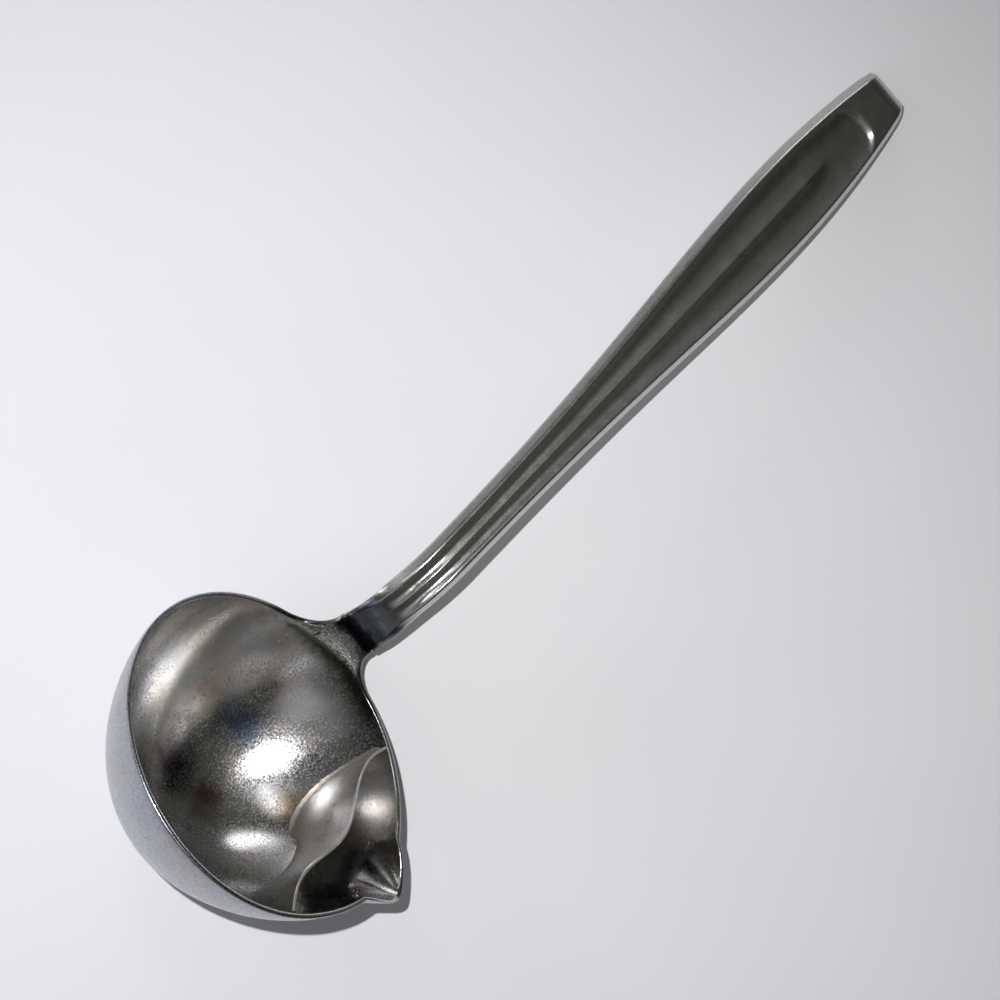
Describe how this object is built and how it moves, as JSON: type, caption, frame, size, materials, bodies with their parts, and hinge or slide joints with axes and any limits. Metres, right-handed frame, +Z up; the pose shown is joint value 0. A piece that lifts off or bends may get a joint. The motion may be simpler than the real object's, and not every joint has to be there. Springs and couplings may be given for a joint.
{
  "type": "fat skimmer ladle",
  "caption": "Long-handled round ladle with a side spout, a curved divider plate across the bowl that holds fat back, and a fluted channel handle turned down at its end as a hook.",
  "frame": {"origin": "the point where the round of the bowl rests on the table", "axes": "+Z up, +X along the handle towards its hook, +Y to the left, so the spout points to -Y; the ladle lies as it does on a table"},
  "size_m": [0.2944, 0.0996, 0.0729],
  "materials": {
    "bowl_steel": "old polished sheet steel, worn satin with fine scratches and small pits",
    "divider_steel": "polished thin sheet steel with faint heat tint",
    "braze_metal": "smoothed brazing metal, satin and slightly uneven",
    "weld_metal": "dark weld seam, ground almost flush",
    "handle_steel": "polished sheet steel, worn, with fine lengthwise scratches and tiny pits"
  },
  "bodies": {
    "root": {"bowl": "bowl_steel", "divider": "divider_steel", "left_braze": "braze_metal", "right_braze": "braze_metal", "neck_weld": "weld_metal", "handle": "handle_steel"}
  },
  "joints": []
}
